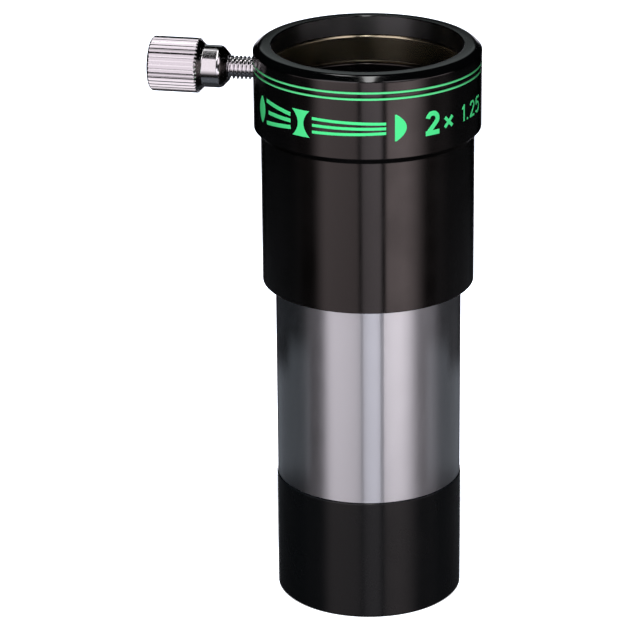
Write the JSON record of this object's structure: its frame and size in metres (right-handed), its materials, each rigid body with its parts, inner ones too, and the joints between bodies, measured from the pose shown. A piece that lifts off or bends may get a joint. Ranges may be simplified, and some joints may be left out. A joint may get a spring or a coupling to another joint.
{
  "type": "barlow lens",
  "caption": "Negative lens in a bright push-fit telescope tube, under a black collar whose brass clamp ring and knurled thumbscrew hold the eyepiece.",
  "frame": {"origin": "centre of the nose's bottom face, on the optical axis", "axes": "+Z along the optical axis towards the eyepiece socket; the thumbscrew points along -X"},
  "size_m": [0.0559, 0.038, 0.0978],
  "materials": {
    "black_housing": "black anodised, semi-gloss",
    "black_cell": "black anodised, semi-gloss",
    "bright_barrel": "satin chrome plate over brass",
    "brass_ring": "turned, dulled",
    "screw_steel": "bright nickel plate",
    "flat_black": "matt black anodised",
    "coated_glass": "multi-coated, green reflection",
    "green_paint": "paint filled into the engraving"
  },
  "bodies": {
    "tube": {"housing": "black_housing", "barrel": "bright_barrel", "upper_baffle": "flat_black", "lower_baffle": "flat_black", "lens_cell": "black_cell", "crown_lens": "coated_glass", "flint_lens": "coated_glass", "lens_retaining_ring": "flat_black"},
    "ring": {"clamp_ring": "brass_ring"},
    "stud": {"thumbscrew_stud": "screw_steel"},
    "knob": {"thumbscrew_knob": "screw_steel"}
  },
  "joints": [
    {"name": "ring_squeeze", "type": "slide", "parent": "tube", "child": "ring", "axis": [1, 0, 0], "range_m": [0, 0.00025], "stiffness_N_per_m": 2000},
    {"name": "thumbscrew_travel", "type": "slide", "parent": "tube", "child": "stud", "axis": [1, 0, 0], "range_m": [-0.00087, 0.00052]},
    {"name": "thumbscrew_turn", "type": "hinge", "parent": "stud", "child": "knob", "pos_m": [-0.0325, 0, 0.0924], "axis": [1, 0, 0], "range_deg": [-450, 270]}
  ],
  "couplings": [
    {"joint": "thumbscrew_turn", "follows": "thumbscrew_travel", "rad_per_m": 8976}
  ]
}
